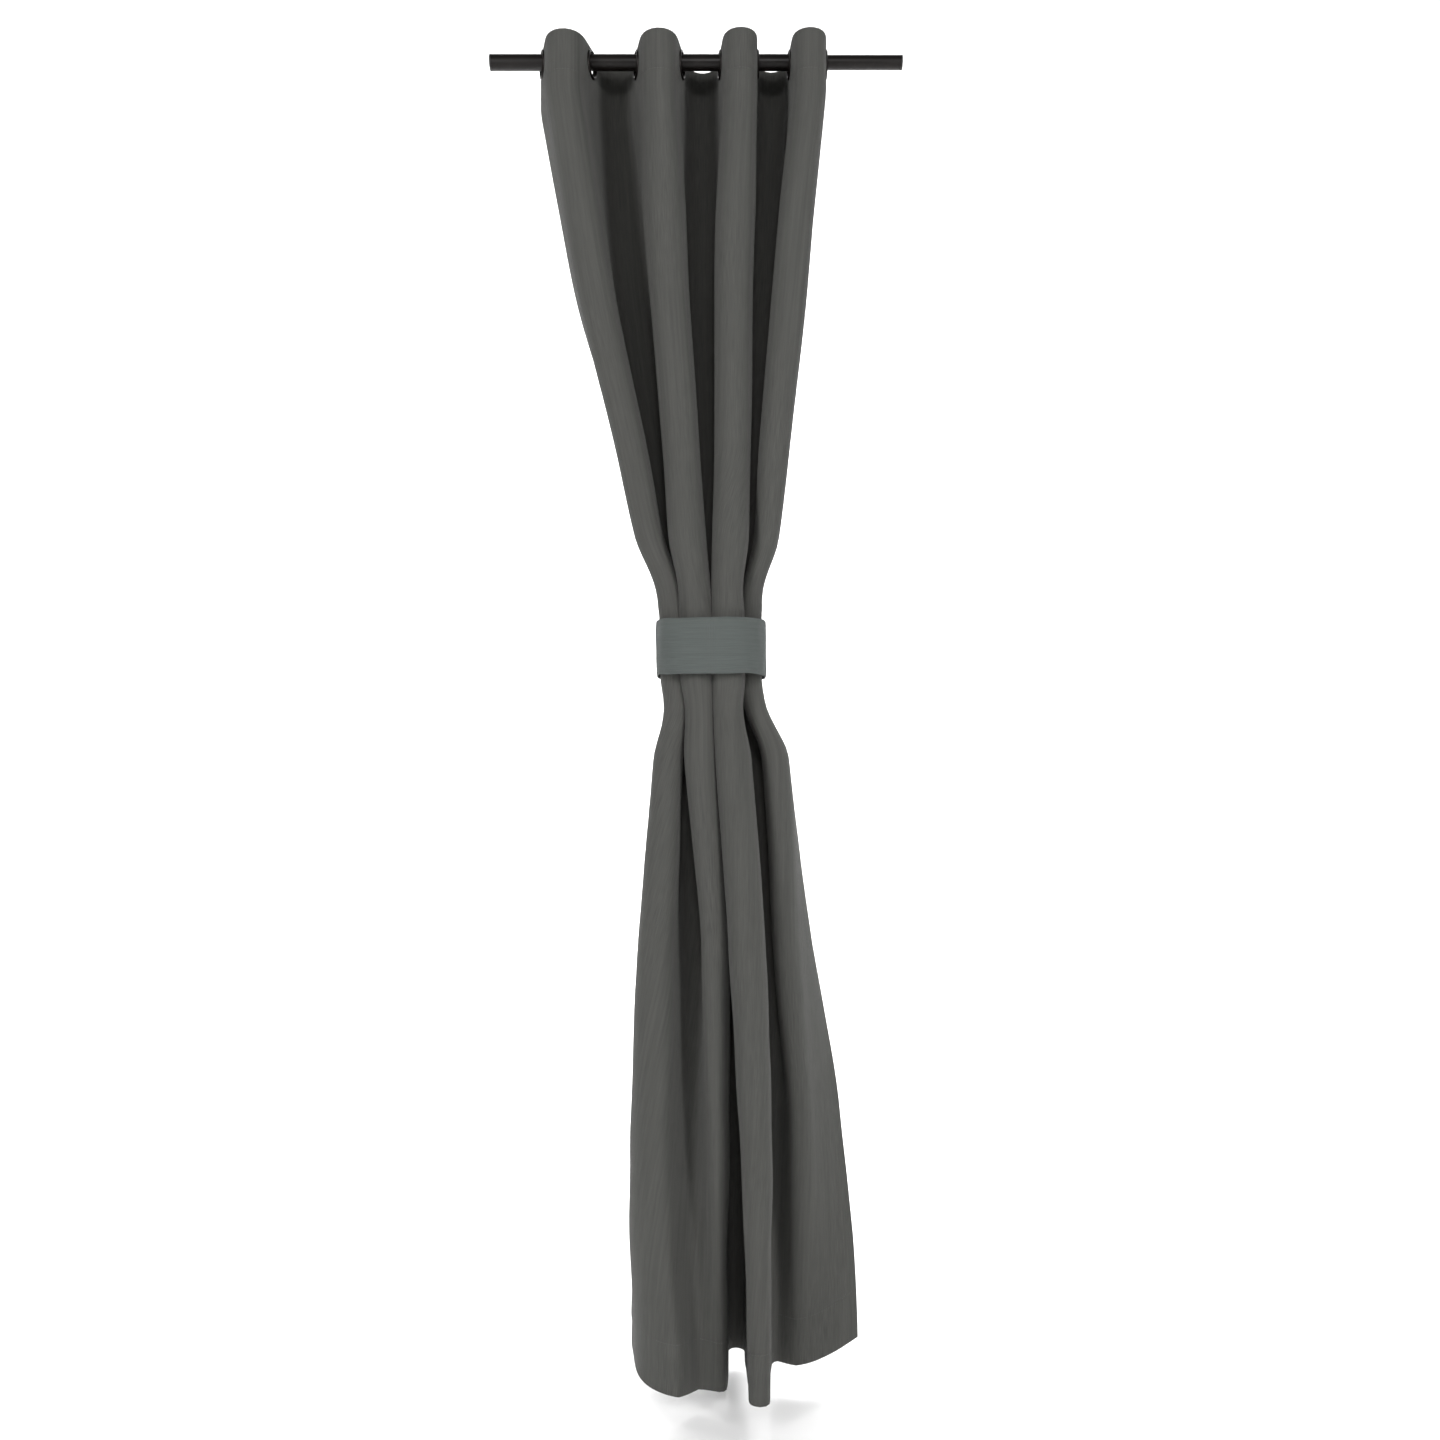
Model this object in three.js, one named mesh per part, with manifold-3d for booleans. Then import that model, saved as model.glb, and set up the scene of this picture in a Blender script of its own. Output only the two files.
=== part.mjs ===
// Eyelet curtain panel on a telescopic rod, gathered at the waist by a tieback of the same cloth.
// Millimetres, +Z up. The origin is on the rod's axis at mid length, +X runs to the right along the
// rod and the room is towards -Y. The cloth is one rectangle: "along" is measured across its width
// from the left side edge, "down" from its top edge.
import * as THREE from 'three';
import { mergeVertices } from 'three/addons/utils/BufferGeometryUtils.js';
import Module from 'manifold-3d';

const wasm = await Module();
wasm.setup();

// Driving dimensions
const GAP = 0.3;                 // clearance between pieces that touch
const ROD_D = 28;                // outer tube, outside
const TUBE_WALL = 1.2;
const ROD_LEFT = -375;           // rod's left end face
const ROD_RIGHT = 376;           // rod's right end face
const OUTER_TUBE_END = 205;      // where the thin tube leaves the thick one
const TUBE_OVERLAP = 180;        // length of thin tube inside the thick one at rest
const PLUG_DISC = 3;
const PLUG_STEM = 20;

const PANEL_WIDTH = 1400;        // flat cloth, side edge to side edge
const PANEL_DROP = 2450;         // flat cloth, top edge to hem
const CLOTH_T = 1.0;
const HEADER_DEPTH = 74;         // depth of the folded-over heading
const BUCKRAM_T = 0.6;           // stiffener inside the heading
const BUCKRAM_INSET = 4;         // the stiffener stops short of the side edges
const BUCKRAM_SHORT = 2;         // and of the heading's lower seam

const EYELETS = 8;
const MARGIN = 77;               // outer eyelet to side edge, on the flat cloth
const EYELET_ROOM = 6;           // bore's radius over the rod's
const EYELET_PLAY = 1.8;         // room over the rod, for an eyelet that stands at a slant
const EYELET_LIP = 5.5;          // flange's reach outside the bore
const EYELET_BARREL_T = 1.6;
const EYELET_FLANGE_T = 2.4;
const EYELET_EDGE = 1;           // chamfer on the flanges
const FLAT_ROOM = 2.5;           // flat cloth beyond an eyelet's flange, at each side
const TOP_ROOM = 2.7;            // cloth above the flanges, up to the top edge

const BAND_HEIGHT = 100;
const BAND_T = 3;
const BAND_DROP = 1071;          // middle of the tieback below the rod's axis
const BAND_X = 28;               // middle of the gathered bundle
const BAND_Y = -2;
const BAND_HALF_WIDTH = 96;      // inside of the band, to the sides
const BAND_HALF_DEPTH = 91;      // inside of the band, front to back
const BAND_ROUNDNESS = 3;        // 2 is an ellipse, more is squarer
const BAND_FILL = 0.973;        // share of the band's inside that the folds reach
const BAND_LAP = 60;             // overlap of the band's two ends, at the back
const GATHER_REACH = 150;        // how far above and below the band the bundle is pressed to its size
const HEADING_REACH = 250;       // how far under the heading the folds lose its flat parts
const FASTENER_T = 1.4;          // hook strip and loop strip, each
const FASTENER_HEIGHT = 80;

const INNER_ROD_D = ROD_D - 2 * TUBE_WALL - 2 * GAP;
const EYELET_PITCH = (PANEL_WIDTH - 2 * MARGIN) / (EYELETS - 1);
const EYELET_BORE_R = ROD_D / 2 + EYELET_ROOM;
const EYELET_FLANGE_R = EYELET_BORE_R + EYELET_LIP;
const EYELET_FLAT = EYELET_FLANGE_R + FLAT_ROOM;
const EYELET_Z = ROD_D / 2 + EYELET_PLAY - EYELET_BORE_R;
const TOP_ABOVE_ROD = EYELET_Z + EYELET_FLANGE_R + TOP_ROOM;
const POCKET = BUCKRAM_T + 2 * GAP;
const HEADER_HALF = POCKET / 2 + CLOTH_T;

// How the cloth hangs. Each section names the heights (below the rod's axis) where it holds, the
// places along X of the seven fold lines (front, back, front, ...), the cloth's length from fold
// line to fold line, the first front fold's place in depth, and the angles that the two side edges
// reach: beside the outer eyelets, and at the very edge. The straight share of each run hangs as a
// plane, so that the folds get sharper towards the hem. At a bend the cloth turns at once.
const CREST_LENGTH = MARGIN + EYELET_PITCH / 2;
const even = [CREST_LENGTH, ...Array(6).fill(EYELET_PITCH), CREST_LENGTH];

function shared(parts) {
  const whole = parts.reduce((sum, part) => sum + part, 0);
  return parts.map((part) => part / whole * PANEL_WIDTH);
}

const bundled = shared([166, 165, 190, 200, 200, 185, 130, 164]);
const spread = shared([439, 65, 36, 200, 299, 200, 41, 120]);

function mixed(share) {
  return bundled.map((part, i) => part + (spread[i] - part) * share);
}

const SECTIONS = [
  { at: -TOP_ABOVE_ROD, folds: [-234, -148, -65, 11, 81, 140, 204], runs: even, first: -70,
    left: [1.33, 2.0], right: [1.54, 1.9], straight: 0 },
  { at: HEADER_DEPTH, folds: [-234, -148, -65, 11, 81, 140, 204], runs: even, first: -70,
    left: [1.33, 2.0], right: [1.54, 1.9], straight: 0, bend: true },
  { at: 404, folds: [-187, -118, -48, 11, 70, 123, 173], runs: even, first: -68,
    left: [1.48, 2.0], right: [1.58, 2.0], straight: 0 },
  { at: 700, folds: [-121, -76, -27, 20, 66, 113, 146], runs: even, first: -66,
    left: [1.7, 2.15], right: [1.75, 2.4], straight: 0 },
  { at: 896, folds: [-78, -50, -14, 26, 63, 102, 124], runs: mixed(0), first: -63,
    left: [1.82, 2.3], right: [1.87, 2.8], straight: 0 },
  { at: BAND_DROP - 61, folds: [-41, -21, 2, 29, 58, 82, 98], runs: mixed(0), first: -60,
    left: [1.95, 2.4], right: [1.95, 3.3], straight: 0, bend: true },
  { at: BAND_DROP + 59, folds: [-41, -21, 2, 29, 58, 82, 98], runs: mixed(0), first: -60,
    left: [1.95, 2.4], right: [1.95, 3.3], straight: 0, bend: true },
  { at: 1250, folds: [-48, -19, 7, 36, 67, 110, 141], runs: mixed(0.1), first: -58,
    left: [1.92, 2.4], right: [1.62, 2.4], straight: 0.03 },
  { at: 1612, folds: [-64, 0, 31, 60, 95, 138, 156], runs: mixed(0.4), first: -54,
    left: [1.82, 2.4], right: [1.22, 1.5], straight: 0.1 },
  { at: 1932, folds: [-66, -6, 36, 68, 110, 150, 182], runs: mixed(0.66), first: -52,
    left: [1.7, 2.5], right: [0.98, 0.85], straight: 0.22 },
  { at: 2440, folds: [-33, 8, 43, 72, 117, 152, 187], runs: mixed(1), first: -50,
    left: [1.48, 2.7], right: [0.27, 0.25], straight: 0.36 },
];

function material(hex, roughness, metalness) {
  return new THREE.MeshStandardMaterial({ color: hex, roughness, metalness });
}

const CLOTH = material(0x565655, 0.95, 0);
const BAND_CLOTH = material(0x616463, 0.95, 0);
const STIFFENER = material(0xd8d6cf, 0.9, 0);
const ROD_PAINT = material(0x1b1716, 0.45, 0);
const PLUG_PLASTIC = material(0x151313, 0.55, 0);
const EYELET_METAL = material(0x2a2725, 0.4, 0.8);
const FASTENER = material(0x242424, 0.95, 0);

const group = new THREE.Group();

function addMesh(name, geometry, finish) {
  const mesh = new THREE.Mesh(geometry, finish);
  mesh.name = name;
  group.add(mesh);
  return mesh;
}

// A value that runs smoothly through the sections, without overshoot (monotone cubic).
function through(levels, values, at) {
  let i = 0;
  while (i < levels.length - 2 && at > levels[i + 1]) i += 1;
  const slope = (k) => (values[k + 1] - values[k]) / (levels[k + 1] - levels[k]);
  const tangent = (k) => {
    if (k === 0 || k === levels.length - 1) return 0;
    if (SECTIONS[k].bend) return slope(i);
    const before = slope(k - 1);
    const after = slope(k);
    return before * after <= 0 ? 0 : 2 * before * after / (before + after);
  };
  const span = levels[i + 1] - levels[i];
  const u = Math.min(1, Math.max(0, (at - levels[i]) / span));
  const keep = (1 + 2 * u) * (1 - u) ** 2;
  const startPull = u * (1 - u) ** 2 * span * tangent(i);
  const endPull = u * u * (u - 1) * span * tangent(i + 1);
  return values[i] * keep + startPull + values[i + 1] * (1 - keep) + endPull;
}

const LEVELS = SECTIONS.map((section) => section.at);

function sectionAt(height) {
  const read = (pick) => through(LEVELS, SECTIONS.map(pick), height);
  return {
    folds: SECTIONS[0].folds.map((_, i) => read((section) => section.folds[i])),
    runs: even.map((_, i) => read((section) => section.runs[i])),
    first: read((section) => section.first),
    straight: read((section) => section.straight),
    left: [0, 1].map((i) => read((section) => section.left[i])),
    right: [0, 1].map((i) => read((section) => section.right[i])),
  };
}

function ease(u) {
  const held = Math.min(1, Math.max(0, u));
  return held * held * (3 - 2 * held);
}

// Share of the full angle that the cloth has at u, from one fold line (0) to the next (1).
function swing(u, flatShare) {
  const rise = 0.5 - flatShare;
  return Math.sin(Math.PI / 2 * Math.min(1, Math.min(u, 1 - u) / rise));
}

// The full angle that makes a run of cloth reach the wanted share of its length along X.
function foldAngle(share, flatShare) {
  const steps = 24;
  let low = 0;
  let high = 2.9;
  for (let turn = 0; turn < 26; turn += 1) {
    const angle = (low + high) / 2;
    let reach = 0;
    for (let i = 0; i < steps; i += 1) {
      reach += Math.cos(angle * swing((i + 0.5) / steps, flatShare)) / steps;
    }
    if (reach > share) low = angle;
    else high = angle;
  }
  return (low + high) / 2;
}

// The angle of a side edge's run, "out" being the distance from its fold line.
function edgeAngle(out, run, [beside, end]) {
  const crossing = EYELET_PITCH / 2 / CREST_LENGTH;
  const flat = EYELET_FLAT / CREST_LENGTH;
  const rising = Math.sin(Math.PI / 2 * Math.min(1, out / run / (crossing - flat)));
  const curl = ease((out / run - crossing - flat) / (1 - crossing - flat));
  return beside * rising + (end - beside) * curl;
}

const ROD_PARTS = 40;            // flats round a tube
const RING_PARTS = 24;           // flats round an eyelet
const STEP = 2;                  // spacing of the points along a plan curve
const OUTER_PRESS = 0.25;        // share that the outer folds lose of their depth in the band
const COUNT = Math.ceil(PANEL_WIDTH / STEP);

// The plan curve of the cloth at one height, as points every STEP along it.
function planAt(height) {
  const { folds, runs, first, left, right, straight } = sectionAt(height);
  const heading = 1 - ease((height - HEADER_DEPTH) / HEADING_REACH);
  const starts = runs.map((_, i) => runs.slice(0, i).reduce((sum, run) => sum + run, 0));
  const flats = runs.map((run) => EYELET_FLAT * heading / run + straight);
  const angles = folds.slice(1).map((x, i) =>
    foldAngle((x - folds[i]) / runs[i + 1], flats[i + 1]));
  const angleAt = (along) => {
    let i = runs.length - 1;
    while (i > 0 && along < starts[i]) i -= 1;
    if (i === 0) return -edgeAngle(runs[0] - along, runs[0], left);
    if (i === runs.length - 1) return edgeAngle(along - starts[i], runs[i], right);
    const side = i % 2 === 1 ? 1 : -1;
    return side * angles[i - 1] * swing((along - starts[i]) / runs[i], flats[i]);
  };
  const points = [{ x: 0, y: 0, angle: angleAt(0) }];
  for (let i = 0; i < COUNT; i += 1) {
    const middle = angleAt((i + 0.5) * STEP);
    const x = points[i].x + STEP * Math.cos(middle);
    const y = points[i].y + STEP * Math.sin(middle);
    points.push({ x, y, angle: angleAt((i + 1) * STEP) });
  }
  placeRow(points, starts[1], folds[0], first);
  alignEyelets(points, heading);
  pressBundle(points, height);
  return points;
}

function pointAlong(points, along) {
  const i = Math.min(COUNT - 1, Math.floor(along / STEP));
  const u = along / STEP - i;
  const from = points[i];
  const to = points[i + 1];
  return {
    x: from.x + (to.x - from.x) * u,
    y: from.y + (to.y - from.y) * u,
    angle: from.angle + (to.angle - from.angle) * u,
  };
}

function placeRow(points, crest, x, y) {
  const at = pointAlong(points, crest);
  for (const point of points) {
    point.x += x - at.x;
    point.y += y - at.y;
  }
}

// In the heading every eyelet is centred on the rod, so the bends between them take up the rest.
function alignEyelets(points, heading) {
  const offsets = [];
  for (let k = 0; k < EYELETS; k += 1) {
    offsets.push(pointAlong(points, eyeletAlong(k)).y);
  }
  points.forEach((point, i) => {
    const from = Math.min(EYELETS - 2, Math.max(0, Math.floor((i * STEP - MARGIN) / EYELET_PITCH)));
    const bend = i * STEP - eyeletAlong(from) - EYELET_FLAT;
    const share = ease(bend / (EYELET_PITCH - 2 * EYELET_FLAT));
    point.y -= heading * (offsets[from] + (offsets[from + 1] - offsets[from]) * share);
  });
}

// How far out a point lies in the tieback's wrap, which is at 1.
function wrapShare(point) {
  const x = Math.abs(point.x - BAND_X) / BAND_HALF_WIDTH;
  const y = Math.abs(point.y - BAND_Y) / BAND_HALF_DEPTH;
  return (x ** BAND_ROUNDNESS + y ** BAND_ROUNDNESS) ** (1 / BAND_ROUNDNESS);
}

// Inside the tieback the outer folds are pressed in, and the bundle just fills the band.
function pressBundle(points, height) {
  const held = 1 - ease((Math.abs(height - BAND_DROP) - BAND_HEIGHT / 2) / GATHER_REACH);
  for (const point of points) {
    const out = Math.min(1, Math.abs((point.x - BAND_X) / BAND_HALF_WIDTH));
    point.y *= 1 - OUTER_PRESS * held * out ** 4;
  }
  const reach = Math.max(...points.map(wrapShare));
  const press = 1 + (BAND_FILL / reach - 1) * held;
  for (const point of points) {
    point.x = BAND_X + (point.x - BAND_X) * press;
    point.y = BAND_Y + (point.y - BAND_Y) * press;
  }
}

function eyeletAlong(k) {
  return MARGIN + EYELET_PITCH * k;
}

// Columns are the vertical threads that the mesh follows, closer together on the bends.
function columnPlaces() {
  const places = [0, BUCKRAM_INSET, (MARGIN - EYELET_FLAT) / 2];
  const bend = EYELET_PITCH - 2 * EYELET_FLAT;
  const parts = 7;
  for (let k = 0; k < EYELETS; k += 1) {
    places.push(eyeletAlong(k) - EYELET_FLAT, eyeletAlong(k), eyeletAlong(k) + EYELET_FLAT);
    for (let i = 1; i < parts && k < EYELETS - 1; i += 1) {
      places.push(eyeletAlong(k) + EYELET_FLAT + bend * i / parts);
    }
  }
  places.push(...places.slice(0, 3).reverse().map((place) => PANEL_WIDTH - place));
  return places;
}

const EYELET_PLAN = planAt(-EYELET_Z);
const LEVEL_STEP = 20;
const DEEPEST = PANEL_DROP - TOP_ABOVE_ROD;
const PLANS = [];
for (let height = -TOP_ABOVE_ROD; height < DEEPEST + LEVEL_STEP; height += LEVEL_STEP) {
  PLANS.push(planAt(height));
}

// A thread follows the cloth down from the top edge; each thread keeps its own length.
function threadAt(along) {
  const thread = [];
  PLANS.forEach((plan, level) => {
    const { x, y, angle } = pointAlong(plan, along);
    const z = TOP_ABOVE_ROD - level * LEVEL_STEP;
    const last = thread[level - 1];
    const down = last ? last.down + Math.hypot(x - last.x, y - last.y, z - last.z) : 0;
    thread.push({ x, y, z, angle, down });
  });
  return thread;
}

// The place of a point on a thread: "down" along it, then "off" square to the cloth.
function onThread(thread, down, off) {
  let i = 0;
  while (i < thread.length - 2 && down > thread[i + 1].down) i += 1;
  const from = thread[i];
  const to = thread[i + 1];
  const u = (down - from.down) / (to.down - from.down);
  const mix = (key) => from[key] + (to[key] - from[key]) * u;
  const angle = mix('angle');
  return [mix('x') - off * Math.sin(angle), mix('y') + off * Math.cos(angle), mix('z')];
}

// A closed strip carried along the threads. Two rails of [down, off] points, with as many points
// each, bound its section, so the section and the strip's two ends are made of matching pairs. Both
// sides are split along the same diagonals, which keeps a twisted strip evenly thick.
function hang(places, outer, inner) {
  const threads = places.map(threadAt);
  const profile = [...outer, ...inner.slice().reverse()];
  const rows = profile.length;
  const vertices = threads.flatMap((thread) =>
    profile.flatMap(([down, off]) => onThread(thread, down, off)));
  const faces = [];
  for (let column = 0; column < places.length - 1; column += 1) {
    for (let row = 0; row < rows; row += 1) {
      const a = column * rows + row;
      const b = column * rows + (row + 1) % rows;
      if (row < outer.length) faces.push(a, a + rows, b, b, a + rows, b + rows);
      else faces.push(a, a + rows, b + rows, a, b + rows, b);
    }
  }
  const last = (places.length - 1) * rows;
  for (let row = 0; row < outer.length - 1; row += 1) {
    const across = rows - 1 - row;
    faces.push(row, row + 1, across, row + 1, across - 1, across);
    faces.push(last + row, last + across, last + row + 1);
    faces.push(last + row + 1, last + across, last + across - 1);
  }
  const geometry = new THREE.BufferGeometry();
  geometry.setAttribute('position', new THREE.Float32BufferAttribute(vertices, 3));
  geometry.setIndex(faces);
  return geometry;
}

function toSolid(geometry) {
  const plain = geometry.clone();
  plain.deleteAttribute('normal');
  plain.deleteAttribute('uv');
  const merged = mergeVertices(plain, 1e-4);
  return new wasm.Manifold(new wasm.Mesh({
    numProp: 3,
    vertProperties: new Float32Array(merged.attributes.position.array),
    triVerts: new Uint32Array(merged.index.array),
  }));
}

function toGeometry(solid) {
  const mesh = solid.getMesh();
  const geometry = new THREE.BufferGeometry();
  geometry.setAttribute('position', new THREE.BufferAttribute(mesh.vertProperties, 3));
  geometry.setIndex(new THREE.BufferAttribute(mesh.triVerts, 1));
  return geometry;
}

// Where eyelet k sits: on the rod, square to the cloth.
function eyeletPlace(k) {
  return pointAlong(EYELET_PLAN, eyeletAlong(k));
}

function eyeletHole(k, radius) {
  const { x, y, angle } = eyeletPlace(k);
  const depth = 6 * HEADER_HALF;
  const hole = new THREE.CylinderGeometry(radius, radius, depth, RING_PARTS);
  hole.rotateZ(angle);
  hole.translate(x, y, EYELET_Z);
  return toSolid(hole);
}

function withEyeletHoles(geometry) {
  const radius = EYELET_BORE_R + EYELET_BARREL_T + GAP;
  let solid = toSolid(geometry);
  for (let k = 0; k < EYELETS; k += 1) {
    solid = solid.subtract(eyeletHole(k, radius));
  }
  return toGeometry(solid);
}

function turned(profile, parts) {
  return new THREE.LatheGeometry(profile.map((p) => new THREE.Vector2(...p)), parts);
}

// The rod: a thick tube, a thin tube that slides in it, and a plug in each outer end.
function tube(radius, start, end) {
  const bore = radius - TUBE_WALL;
  const profile = [[bore, start], [radius, start], [radius, end], [bore, end], [bore, start]];
  return turned(profile, ROD_PARTS).rotateZ(-Math.PI / 2);
}

function plug(radius, face, side) {
  const stem = radius - TUBE_WALL - GAP;
  const shoulder = face - side * PLUG_DISC;
  const inside = shoulder - side * PLUG_STEM;
  const profile = [[0, inside], [stem, inside], [stem, shoulder], [radius, shoulder],
    [radius, face], [0, face]];
  if (side < 0) profile.reverse();
  return turned(profile, ROD_PARTS).rotateZ(-Math.PI / 2);
}

function buildRod() {
  const inner = INNER_ROD_D / 2;
  const outer = ROD_D / 2;
  addMesh('rod_outer_tube', tube(outer, ROD_LEFT + PLUG_DISC + GAP, OUTER_TUBE_END), ROD_PAINT);
  addMesh('rod_inner_tube',
    tube(inner, OUTER_TUBE_END - TUBE_OVERLAP, ROD_RIGHT - PLUG_DISC - GAP), ROD_PAINT);
  addMesh('end_plug_left', plug(outer, ROD_LEFT, -1), PLUG_PLASTIC);
  addMesh('end_plug_right', plug(inner, ROD_RIGHT, 1), PLUG_PLASTIC);
}

// Rows of the cloth under the heading: as shares of the way down to the tieback, then beside its
// middle, then as shares of the way on to the hem.
const HEADING_ROW = 20;          // middle row of the heading
const ABOVE_BAND = [0.119, 0.183, 0.265, 0.365, 0.475, 0.594, 0.712, 0.822];
const BESIDE_BAND = [-95, -35, 5, 65];
const BELOW_BAND = [0.1, 0.175, 0.27, 0.39, 0.52, 0.66, 0.8, 0.925];

function bodyRows() {
  const band = BAND_DROP + TOP_ABOVE_ROD;
  return [
    ...ABOVE_BAND.map((share) => share * band),
    ...BESIDE_BAND.map((step) => band + step),
    ...BELOW_BAND.map((share) => band + share * (PANEL_DROP - band)),
    PANEL_DROP,
  ];
}

// The cloth: one sheet whose top is folded to the back and sewn down as the heading.
function buildCloth() {
  const outside = HEADER_HALF;
  const inside = HEADER_HALF - CLOTH_T;
  const heading = [HEADING_ROW, HEADER_DEPTH];
  const rail = (half, top) => [
    ...[...heading, ...bodyRows()].reverse().map((down) => [down, -half]),
    [top, -half],
    [top, half],
    ...heading.map((down) => [down, half]),
  ];
  const sheet = hang(columnPlaces(), rail(outside, 0), rail(inside, CLOTH_T));
  addMesh('curtain_cloth', withEyeletHoles(sheet), CLOTH);
}

function buildBuckram() {
  const downs = [HEADER_DEPTH - BUCKRAM_SHORT, HEADING_ROW, CLOTH_T + GAP];
  const rail = (off) => downs.map((down) => [down, off]);
  const places = columnPlaces().slice(1, -1);
  const strip = hang(places, rail(-BUCKRAM_T / 2), rail(BUCKRAM_T / 2));
  addMesh('header_buckram', withEyeletHoles(strip), STIFFENER);
}

// An eyelet is two halves snapped together through the cloth: the front one has the barrel.
function ringOf(profile) {
  const closed = [...profile, profile[0]];
  return turned(closed, RING_PARTS);
}

function buildEyelets() {
  const face = HEADER_HALF + GAP;
  const top = face + EYELET_FLANGE_T;
  const barrel = EYELET_BORE_R + EYELET_BARREL_T;
  const front = [[EYELET_BORE_R, top], [EYELET_BORE_R, -top + EYELET_EDGE], [EYELET_BORE_R + EYELET_EDGE, -top],
    [EYELET_FLANGE_R - EYELET_EDGE, -top], [EYELET_FLANGE_R, -face], [barrel, -face], [barrel, top]];
  const back = [[barrel + GAP, face], [EYELET_FLANGE_R, face], [EYELET_FLANGE_R - EYELET_EDGE, top],
    [barrel + GAP, top]];
  for (let k = 0; k < EYELETS; k += 1) {
    const { x, y, angle } = eyeletPlace(k);
    const halves = [[`eyelet_${k + 1}_front`, front], [`eyelet_${k + 1}_back`, back]];
    for (const [name, profile] of halves) {
      const mesh = addMesh(name, ringOf(profile), EYELET_METAL);
      mesh.position.set(x, y, EYELET_Z);
      mesh.rotation.z = angle;
    }
  }
}

// The tieback wraps the bundle once; its ends lap at the back and hold by hook and loop strips.
function wrapPoint(turn, off) {
  const angle = Math.PI / 2 + turn * 2 * Math.PI;
  const reach = (value, half) => half * Math.sign(value) * Math.abs(value) ** (2 / BAND_ROUNDNESS);
  const x = reach(Math.cos(angle), BAND_HALF_WIDTH);
  const y = reach(Math.sin(angle), BAND_HALF_DEPTH);
  const slope = (value, half) => Math.sign(value) * Math.abs(value / half) ** (BAND_ROUNDNESS - 1) / half;
  const out = new THREE.Vector2(slope(x, BAND_HALF_WIDTH), slope(y, BAND_HALF_DEPTH)).setLength(off);
  return new THREE.Vector2(BAND_X + x + out.x, BAND_Y + y + out.y);
}

function wrapStrip(name, start, end, steps, inner, thickness, height, finish) {
  const turns = Array.from({ length: steps + 1 }, (_, i) => start + (end - start) * i / steps);
  const outline = [
    ...turns.map((turn) => wrapPoint(turn, inner(turn) + thickness)),
    ...turns.reverse().map((turn) => wrapPoint(turn, inner(turn))),
  ];
  const shape = new THREE.Shape(outline);
  const strip = new THREE.ExtrudeGeometry(shape, { depth: height, bevelEnabled: false, steps: 1 });
  strip.translate(0, 0, -BAND_DROP - height / 2);
  addMesh(name, strip, finish);
}

function buildTieback() {
  const girth = 2 * Math.PI * Math.sqrt((BAND_HALF_WIDTH ** 2 + BAND_HALF_DEPTH ** 2) / 2);
  const lap = BAND_LAP / girth;
  const rise = BAND_T + 2 * FASTENER_T + 3 * GAP;
  const offset = (turn) => rise * ease((turn - (1 - 2 * lap)) / lap);
  wrapStrip('tieback_band', 0, 1 + lap, 76, offset, BAND_T, BAND_HEIGHT, BAND_CLOTH);
  const start = lap * 0.1;
  const end = lap * 0.9;
  const loopInner = BAND_T + GAP;
  const hookInner = loopInner + FASTENER_T + GAP;
  wrapStrip('tieback_loop_strip', start, end, 4, () => loopInner, FASTENER_T, FASTENER_HEIGHT, FASTENER);
  wrapStrip('tieback_hook_strip', start, end, 4, () => hookInner, FASTENER_T, FASTENER_HEIGHT, FASTENER);
}

buildRod();
buildCloth();
buildBuckram();
buildEyelets();
buildTieback();

export default group;
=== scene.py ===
import math

import bmesh
import bpy
import numpy as np
from mathutils import Matrix, Vector, noise


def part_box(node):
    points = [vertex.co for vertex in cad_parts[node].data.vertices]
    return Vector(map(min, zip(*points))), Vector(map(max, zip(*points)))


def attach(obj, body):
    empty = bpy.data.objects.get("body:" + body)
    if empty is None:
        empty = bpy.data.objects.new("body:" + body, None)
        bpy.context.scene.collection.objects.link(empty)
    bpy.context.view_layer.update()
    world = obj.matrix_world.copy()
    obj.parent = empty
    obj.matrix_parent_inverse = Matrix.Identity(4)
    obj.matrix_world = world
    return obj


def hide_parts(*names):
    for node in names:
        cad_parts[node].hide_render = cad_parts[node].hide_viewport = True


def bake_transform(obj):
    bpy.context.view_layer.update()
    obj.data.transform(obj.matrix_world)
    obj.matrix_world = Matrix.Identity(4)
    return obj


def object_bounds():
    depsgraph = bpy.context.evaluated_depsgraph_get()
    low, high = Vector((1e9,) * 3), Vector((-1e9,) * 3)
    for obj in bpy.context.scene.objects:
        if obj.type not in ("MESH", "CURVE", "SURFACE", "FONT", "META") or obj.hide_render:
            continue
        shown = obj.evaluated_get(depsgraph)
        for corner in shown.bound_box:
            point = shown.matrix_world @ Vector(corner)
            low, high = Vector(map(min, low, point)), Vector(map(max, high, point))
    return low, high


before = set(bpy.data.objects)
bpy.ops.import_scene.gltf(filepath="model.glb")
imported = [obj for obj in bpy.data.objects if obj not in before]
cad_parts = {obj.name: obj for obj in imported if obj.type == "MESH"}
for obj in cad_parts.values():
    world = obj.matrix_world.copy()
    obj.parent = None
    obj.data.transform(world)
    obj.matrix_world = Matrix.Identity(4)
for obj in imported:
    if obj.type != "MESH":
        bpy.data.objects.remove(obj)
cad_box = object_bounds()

# Studio: a pale paper floor that curves up into a pale wall, a tall soft light at each side in
# front of the curtain, a small one between them, one each on the wall and the floor behind, and a
# dim even sky. The camera stands level at mid drop. Light powers are in watts.
HEM_TO_FLOOR = 0.035
EYE_HEIGHT = -1.307
EYE_DISTANCE = 2.400
EYE_SIDE = 0.044
VIEW_WIDTH = 2.62368
VIEW_SHIFT = 1 / 24
SENSOR_WIDTH = 36
SWEEP_RADIUS = 1.2
SWEEP_BACK = 2.6
SWEEP_FRONT = -6.0
SWEEP_HALF_WIDTH = 9.0
WALL_HEIGHT = 7.0
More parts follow.
